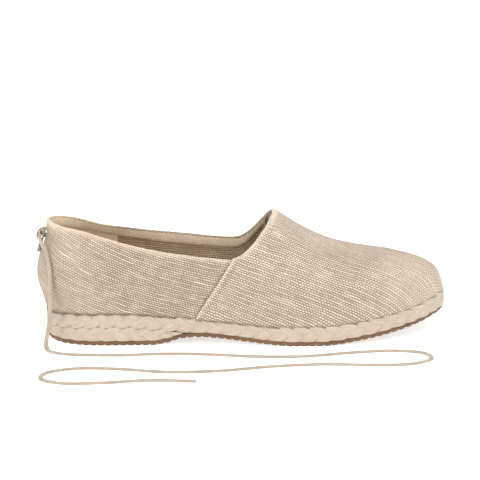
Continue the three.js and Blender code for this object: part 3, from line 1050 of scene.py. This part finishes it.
def plait(name, rail, seed):
    line, out, closed = rail["line"], rail["out"], rail["closed"]
    room = rail["high"] - rail["low"]
    lap = np.clip(room / (0.9 * MM), 0, 1)  # each row overlaps what is over it, less where it runs out
    top, bottom = rail["high"] + 0.7 * MM * lap, rail["low"] - 0.1 * MM
    height, middle = top - bottom, (top + bottom) / 2
    scale = np.clip(height / ROW, 0.06, 1.15)
    swing = height / 2 - STRAND_HALF_WIDTH * 0.5 * scale
    parts = []
    for k in range(3):
        turn = 2 * np.pi * (rail["at"] / (3 * BRAID_PITCH) + k / 3)
        loose = np.array([noise.noise(Vector((a / (13 * MM), 4.7 * k + seed, 0.3)))
                          for a in rail["at"]])
        if closed:                       # the ring's two ends meet
            share = np.arange(len(line)) / len(line)
            loose = loose * np.sin(np.pi * share) ** 0.3
        depth = -SWAY * np.sin(2 * turn) * scale + 0.15 * MM * loose
        centre = line + out * (depth - STRAND_HALF_DEPTH - SWAY)[:, None]
        sine = np.sin(turn)
        centre[:, 2] = middle + swing * np.sign(sine) * abs(sine) ** 0.8 + 0.12 * MM * loose * scale
        along = directions(centre, closed)
        across = unit(np.cross(out, along))
        facing = np.cross(along, across)
        fat = scale * (1 + 0.06 * loose)
        outline, rim = [], []
        for i in range(16):
            angle = 2 * math.pi * i / 16
            c, s = math.cos(angle), math.sin(angle)
            rim.append(abs(c) ** 3)
            box = (abs(c) ** 3.6 + abs(s) ** 3.6) ** (-1 / 3.6)      # flat with soft corners
            outline.append((STRAND_HALF_WIDTH * c * box * fat, STRAND_HALF_DEPTH * s * box * fat))
        strand = sweep(f"{name}_{k}", centre, across, facing, outline, closed)
        places, _ = mesh_arrays(strand)  # pressed flat at the row's edges, and rounded in there
        ring = np.repeat(np.arange(len(line)), 16)
        places[:, 2] = np.clip(places[:, 2], (middle - height / 2)[ring], (middle + height / 2)[ring])
        share = abs(places[:, 2] - middle[ring]) / (height / 2)[ring]
        places -= out[ring] * (EDGE_ROUNDING * scale[ring] * share ** 5)[:, None]
        place_vertices(strand, places)
        # Both kept values paint shade: sunk where the strand dives, and rim along the strand's edges,
        # strongest where rows meet, for the dark lines in the grooves between strands.
        keep_value(strand, "sunk", np.repeat(0.5 + 0.5 * np.sin(2 * turn), 16))
        keep_value(strand, "rim", np.tile(rim, len(line)) * (0.55 + 1.1 * share ** 4))
        parts.append(strand)
    only(*parts)
    bpy.ops.object.join()
    made = bpy.context.object
    made.name = name
    tell_size(made)
    return made


midsole_plait = plait("midsole_plait", midsole_rail, 1.0)
lift_plait = plait("lift_plait", lift_rail, 9.0)


# %% Core of the sole
def core(node, name, behind):
    """The CAD layer, drawn in so far behind its own surface."""
    o = cad_copy(node, name)
    with editing(o):
        bpy.ops.transform.shrink_fatten(value=-behind)
    bevel_edges(o, 0.4 * MM, 2, 35)
    tell_size(o)
    return o


midsole_core = core("midsole", "midsole_core", 1.9 * MM)
lift_core = core("heel_lift", "lift_core", 1.2 * MM)
for piece, node in ((midsole_plait, "midsole"), (lift_plait, "heel_lift"), (midsole_core, None),
                    (lift_core, None)):
    add_to_shoe(piece, node)


# %% [markdown]
# ## The rubber outsole
#
# A thin gum-rubber sole with a fine tread of cross bars, which shows as a saw-toothed lower edge. The
# CAD copy's underside is raised by the depth of the tread, bisected at both flanks of every bar, and
# the bars are extruded back down to the real underside.

# %% Outsole
BAR_PITCH, BAR_WIDTH, TREAD_DEPTH = 4.8 * MM, 3.3 * MM, 0.6 * MM

outsole = cad_copy("outsole", "rubber_outsole")
_, normals = face_table(outsole)
select_faces(outsole, normals[:, 2] < -0.9)
bpy.ops.transform.translate(value=(0, 0, TREAD_DEPTH))
low_corner, high_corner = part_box("outsole")
bars = np.arange(low_corner.x + 2.2 * MM, high_corner.x - 1 * MM, BAR_PITCH)
bpy.ops.object.mode_set(mode="OBJECT")
for x in bars:
    for flank in (x - BAR_WIDTH / 2, x + BAR_WIDTH / 2):
        middles, normals = face_table(outsole)
        select_faces(outsole, (normals[:, 2] < -0.6) & (abs(middles[:, 0] - flank) < 12 * MM))
        bpy.ops.mesh.bisect(plane_co=(flank, 0, 0), plane_no=(1, 0, 0))
        bpy.ops.object.mode_set(mode="OBJECT")
middles, normals = face_table(outsole)
bar = np.zeros(len(middles), bool)
for x in bars:
    bar |= abs(middles[:, 0] - x) < BAR_WIDTH / 2
select_faces(outsole, bar & (normals[:, 2] < -0.9))
bpy.ops.mesh.extrude_region_move(TRANSFORM_OT_translate={"value": (0, 0, -TREAD_DEPTH)})
bpy.ops.transform.resize(value=(1, 0.995, 1))
bpy.ops.object.mode_set(mode="OBJECT")
bevel_edges(outsole, 0.2 * MM, 1, 50)
smooth_shading(outsole, 35)
add_to_shoe(outsole, "outsole")
print("outsole", len(bars), "bars,", triangles(outsole), "triangles")


# %% [markdown]
# ## The insole
#
# A thin footbed under the foot, covered in the same kind of cloth and stitched round its edge. The
# CAD copy's top is inset and raised a little, so that it is softly crowned where the foot hasn't
# pressed it and rolls down at its edge.

# %% Insole
insole = cad_copy("insole", "footbed")
_, normals = face_table(insole)
select_faces(insole, normals[:, 2] > 0.9)
bpy.ops.mesh.inset(thickness=3.5 * MM, depth=0)
bpy.ops.mesh.inset(thickness=3 * MM, depth=0.5 * MM)
bpy.ops.object.mode_set(mode="OBJECT")
bevel_edges(insole, 0.5 * MM, 2, 60)
smooth_shading(insole, 60)
copy = cad_copy("insole", "insole_copy")
columns = corner_line(copy, True)
bpy.data.objects.remove(copy)
bed_line = evenly(smooth_line(columns, closed=True, fine=8), 1 * MM, closed=True)
bed_run = directions(bed_line, closed=True)
inwards = unit(np.column_stack([-bed_run[:, 1], bed_run[:, 0], 0 * bed_run[:, 0]]))
if (inwards * bed_line).sum() > 0:
    inwards = -inwards
upright = np.tile([0.0, 0.0, 1.0], (len(bed_line), 1))
footbed_stitches = stitch_row("footbed_stitches", thread_stitch(2.6 * MM, 0.6 * MM),
                              bed_line + inwards * 3.2 * MM + upright * 0.2 * MM, bed_run, upright,
                              3.6 * MM)
for piece, node in ((insole, "insole"), (footbed_stitches, None)):
    add_to_shoe(piece, node)
tell_size(insole)


# %% [markdown]
# ## The pull loop
#
# A short leather strap, folded into a loop round the tie and sewn down on the heel's seam. Its side
# view is the CAD's, drawn up close to the linen. Below the loop the strap's two ends lie on each
# other, so its tail is thicker than the loop. Every edge is rounded.

# %% Pull loop
pull_loop = cad_copy("pull_loop", "heel_loop")
with editing(pull_loop):
    bpy.ops.mesh.dissolve_limited(angle_limit=math.radians(2))
    bpy.ops.mesh.select_all(action="SELECT")
    bpy.ops.transform.shrink_fatten(value=-0.12 * MM)
places, _ = mesh_arrays(pull_loop)
flat_side = -125.6 * MM - 0.3 * (71.6 * MM - places[:, 2])        # the side that lies on the heel
tail = (places[:, 2] < 64.2 * MM) & (places[:, 0] < flat_side - 0.5 * MM)
places[tail, 0] = np.minimum(places[tail, 0], flat_side[tail] - 2.3 * MM)
places[:, 0] += 0.8 * MM                # up to the linen, over the heel seam's groove
place_vertices(pull_loop, places)
bevel_edges(pull_loop, 0.28 * MM, 3, 60)
smooth_shading(pull_loop, 40)
add_to_shoe(pull_loop, "pull_loop")
tell_size(pull_loop)


# %% [markdown]
# ## Linen
#
# A coarse plain weave: each weft thread passes over one warp thread and under the next, so the cloth
# reads as a chequer of small beads with dark gaps at their corners. The threads are drawn as two
# families of arches, and the higher one shows. Besides the bump, each bead's crown is given a painted
# highlight and each gap painted shade. Hand-spun flax is uneven, so every thread has its own
# tone along its length, and here and there a thick pale slub. The UV map is in metres, so a thread is
# as wide on every panel. Where the cloth is pressed or stretched flat, its relief is calmer. A value
# kept on each panel adds painted highlights along folded edges and seams, and painted shade and
# shadow by the seams and along the braid.

# %% Weave
WARP_SHARE = 0.64                       # the warp is this much closer together than the weft


def weave(w, uv, thread, wander=0.48, seed=0.0):
    """The weave's relief, its bare gaps, the tone of the thread on top and its slubs, all 0 to 1."""
    split = uv.split()
    x, y = split, split.other("Y")
    drift = w.node("TexNoise", ("Vector", uv), ("Scale", 120.0), ("Detail", 2.0), out="Color")
    drifts = drift.split()
    a = x * (1 / (WARP_SHARE * thread)) + (drifts - 0.5) * (wander * 2.2)
    b = y * (1 / thread) + (drifts.other("Y") - 0.5) * (wander * 2.2)
    i, j = a.floor(), b.floor()
    warp_round = (a.fraction() * math.pi).sine()
    weft_round = (b.fraction() * math.pi).sine()
    weft_arch = (((a + j) * 0.5).fraction() * (2 * math.pi)).sine() * 0.5 + 0.5
    warp_arch = 0.5 - (((b + i) * 0.5).fraction() * (2 * math.pi)).sine() * 0.5
    weft_top = weft_round * (weft_arch * 0.85 + 0.15)
    warp_top = warp_round * (warp_arch * 0.8)
    relief = weft_top.most(warp_top)
    over = w.math("GREATER_THAN", warp_top, weft_top)             # 0: weft on top, 1: warp on top
    gaps = 1 - relief.ramp(0.12, 0.68)
    weft_tone = w.speckle(w.point(x * 90.0, j * 7.31 + seed), 1.0)
    warp_tone = w.speckle(w.point(i * 5.77 + seed, y * 70.0), 1.0)
    pairs = (j * 0.5).fraction() * 2.0 - 0.5                      # every other weft is paler
    tone = weft_tone * (1 - over) + warp_tone * over + pairs * 0.12
    slub = w.speckle(w.point(x * 60.0, j * 3.17 + seed + 40.0), 1.0, 1.0).ramp(0.58, 0.8) * weft_round
    return relief, gaps, tone, slub, over


def linen_material(name, thread, pale, mid, gap, slub_and_highlight_colour, sheen, seed=0.0, depth=0.35 * MM):
    made, shader, w = new_material(name, Sheen_Weight=sheen, Sheen_Roughness=0.6,
                                   Specular_IOR_Level=0.25)
    uv = w.on_cloth()
    relief, gaps, tone, slub, over = weave(w, uv, thread, seed=seed)
    patch = w.speckle(uv, 28.0, 3.0)
    # painted_light is kept on each panel: above 0 it is a painted highlight, below 0 painted shade and
    # shadow.
    painted_light = w.kept("painted_light")
    along = w.on_object().split()
    ends = along.size().ramp(70 * MM, 112 * MM)
    crest = 1 - along.other("Y").size().ramp(5 * MM, 24 * MM)
    calm = 1 - ends.most(crest) * 0.45                            # pressed flat at heel, toe and instep
    # The relief term paints a highlight on each thread's crown, and painted_light lightens or darkens
    # the whole.
    shade = ((tone - 0.5) * 1.4 + (relief - 0.5) * 0.7 - over * 0.35) * calm + (patch - 0.5) * 0.4
    shade = shade + 0.5 + painted_light * 0.3
    colour = shade.ramp(0.0, 1.0).blend(mid, pale)
    colour = (slub * 0.5).blend(colour, slub_and_highlight_colour)
    # The gap colour paints shade into the weave's gaps, less under a painted highlight. The painted
    # highlight then blends towards the pale slub colour, and painted shade and shadow towards the gap
    # colour.
    colour = (gaps * calm * (1 - slub * 0.5) * (0.9 - painted_light.most(0.0) * 0.5)).blend(colour, gap)
    colour = (painted_light.most(0.0) * 0.35).blend(colour, slub_and_highlight_colour)
    colour = ((0 - painted_light).most(0.0) * 0.6).blend(colour, gap)
    fibres = w.speckle(uv, 5200.0)
    height = relief + slub * 0.35 + fibres * 0.12
    finish_material(w, shader, colour, 0.86 + fibres * 0.1, height, depth, 0.9)
    return made


quarter_linen = linen_material("quarter_linen", 1.36 * MM, paint(192, 176, 159), paint(134, 117, 100),
                               paint(84, 68, 53), paint(220, 205, 188), 0.1)
vamp_linen = linen_material("vamp_linen", 1.4 * MM, paint(200, 184, 168), paint(142, 126, 108),
                            paint(98, 81, 65), paint(222, 206, 189), 0.1, seed=5.0)
lining_linen = linen_material("lining_linen", 1.36 * MM, paint(202, 182, 158), paint(148, 126, 102),
                              paint(96, 80, 62), paint(210, 192, 170), 0.05, seed=11.0)
coat(quarter_linen, quarter)
coat(vamp_linen, vamp)
coat(lining_linen, lining)


# %% Binding and threads
def satin_material(name, colour, shade):
    made, shader, w = new_material(name, Sheen_Weight=0.2, Specular_IOR_Level=0.4)
    uv = w.on_cloth()
    split = uv.split()
    twill = ((split + split.other("Y")) * (2 * math.pi / (0.55 * MM))).sine()
    patch = w.speckle(uv, 90.0)
    tone = patch * 0.7 + twill * 0.15 + 0.15
    finish_material(w, shader, tone.ramp(0.1, 0.9).blend(shade, colour), 0.55, twill + patch, 0.05 * MM)
    return made


def thread_material(name, colour, shade):
    made, shader, w = new_material(name, Specular_IOR_Level=0.35)
    place = w.on_object()
    fuzz = w.speckle(place, 2500.0)
    finish_material(w, shader, fuzz.blend(shade, colour), 0.8, fuzz, 0.06 * MM)
    return made


coat(satin_material("satin_binding", paint(226, 209, 185), paint(204, 186, 158)), binding)
coat(thread_material("facing_cloth", paint(222, 204, 178), paint(202, 183, 156)), heel_facing)
coat(thread_material("binding_thread", paint(162, 142, 114), paint(124, 106, 82)), *tape_rows)
coat(thread_material("footbed_thread", paint(226, 210, 184), paint(190, 170, 140)),
     footbed_stitches)


# %% [markdown]
# ## Jute
#
# Plaited jute is pale, smooth and a little rosy, made of fine fibres that run along each strand. The
# strand's own UV map carries the fibres. Two values are kept on each point, and both paint shade into
# the colour: how deep the strand has dived, where it is given painted shade, and how near it is to the
# strand's rim, where painted shade draws the plait's dark lines between strands and rows.

# %% Jute material
jute, shader, w = new_material("plaited_jute", Sheen_Weight=0.1, Specular_IOR_Level=0.3)
uv = w.on_cloth()
split = uv.split()
fibre_place = w.point(split * 160.0, split.other("Y") * 5200.0)
fibre = w.speckle(fibre_place, 1.0, 3.0)
broad = w.speckle(w.point(split * 60.0, split.other("Y") * 900.0), 1.0)
sunk = w.kept("sunk")
tone = (fibre * 0.55 + broad * 0.65 - 0.12)
colour = tone.ramp(0.1, 0.85).blend(paint(150, 135, 119), paint(176, 162, 148))
# Painted shade where the strand dives.
colour = (sunk.ramp(0.4, 1.0) * 0.3).blend(colour, paint(142, 121, 102))
rim = w.kept("rim")
# Painted shade along the strands' edges draws the plait's dark lines.
colour = (rim.ramp(0.35, 1.0) * 0.95).blend(colour, paint(78, 59, 44))
finish_material(w, shader, colour, 0.75 + fibre * 0.15, fibre * 0.7 + broad * 0.5, 0.12 * MM, 0.8)
coat(jute, midsole_plait, lift_plait)

# The core is real jute behind the strands, but it is coloured darker than them, which paints the shade
# seen through the plait's gaps.
core_jute, shader, w = new_material("jute_core")
place = w.on_object()
fuzz = w.speckle(place, 900.0, 3.0)
finish_material(w, shader, fuzz.blend(paint(120, 96, 72), paint(172, 144, 114)), 0.95, fuzz, 0.2 * MM)
coat(core_jute, midsole_core, lift_core)

# %% Rubber
rubber, shader, w = new_material("gum_rubber", Specular_IOR_Level=0.45)
place = w.on_object()
cloud, grit = w.speckle(place, 70.0, 3.0), w.speckle(place, 2200.0)
colour = (cloud * 0.7 + grit * 0.3).ramp(0.25, 0.75).blend(paint(80, 54, 27), paint(104, 73, 40))
finish_material(w, shader, colour, 0.5 + grit * 0.25, grit, 0.06 * MM)
coat(rubber, outsole)

# %% Footbed cloth
footbed_cloth, shader, w = new_material("footbed_cloth", Sheen_Weight=0.1, Specular_IOR_Level=0.25)
place = w.on_object()
relief, gaps, tone, *_ = weave(w, place, 0.9 * MM, seed=23.0)
# The relief paints a highlight on each thread's crown, and the gaps take painted shade.
colour = (tone * 0.8 + relief * 0.4 - 0.1).ramp(0.0, 1.0)
colour = colour.blend(paint(186, 164, 132), paint(220, 202, 172))
colour = (gaps * 0.7).blend(colour, paint(140, 118, 90))
finish_material(w, shader, colour, 0.9, relief, 0.2 * MM, 0.8)
coat(footbed_cloth, insole)


# %% [markdown]
# ## Suede and leather
#
# The tie is a soft suede lace: matt, greyish beige, with a short nap that catches the light unevenly.
# The pull loop is a firmer, rosier leather.

# %% Suede material
def suede_material(name, colour, shade, uv_fibres, nap=1400.0):
    made, shader, w = new_material(name, Sheen_Weight=0.35, Sheen_Roughness=0.5, Specular_IOR_Level=0.2)
    place = w.on_cloth() if uv_fibres else w.on_object()
    cloud, fine = w.speckle(place, 90.0), w.speckle(place, nap, 3.0)
    tone = (cloud * 0.6 + fine * 0.5 - 0.05).ramp(0.2, 0.8)
    finish_material(w, shader, tone.blend(shade, colour), 0.92, fine, 0.08 * MM, 0.8)
    return made


suede = suede_material("suede_lace", paint(160, 146, 131), paint(134, 120, 106), True)
leather = suede_material("loop_leather", paint(152, 132, 116), paint(120, 98, 82), False)
coat(suede, lateral_lace, medial_lace)
coat(leather, pull_loop)
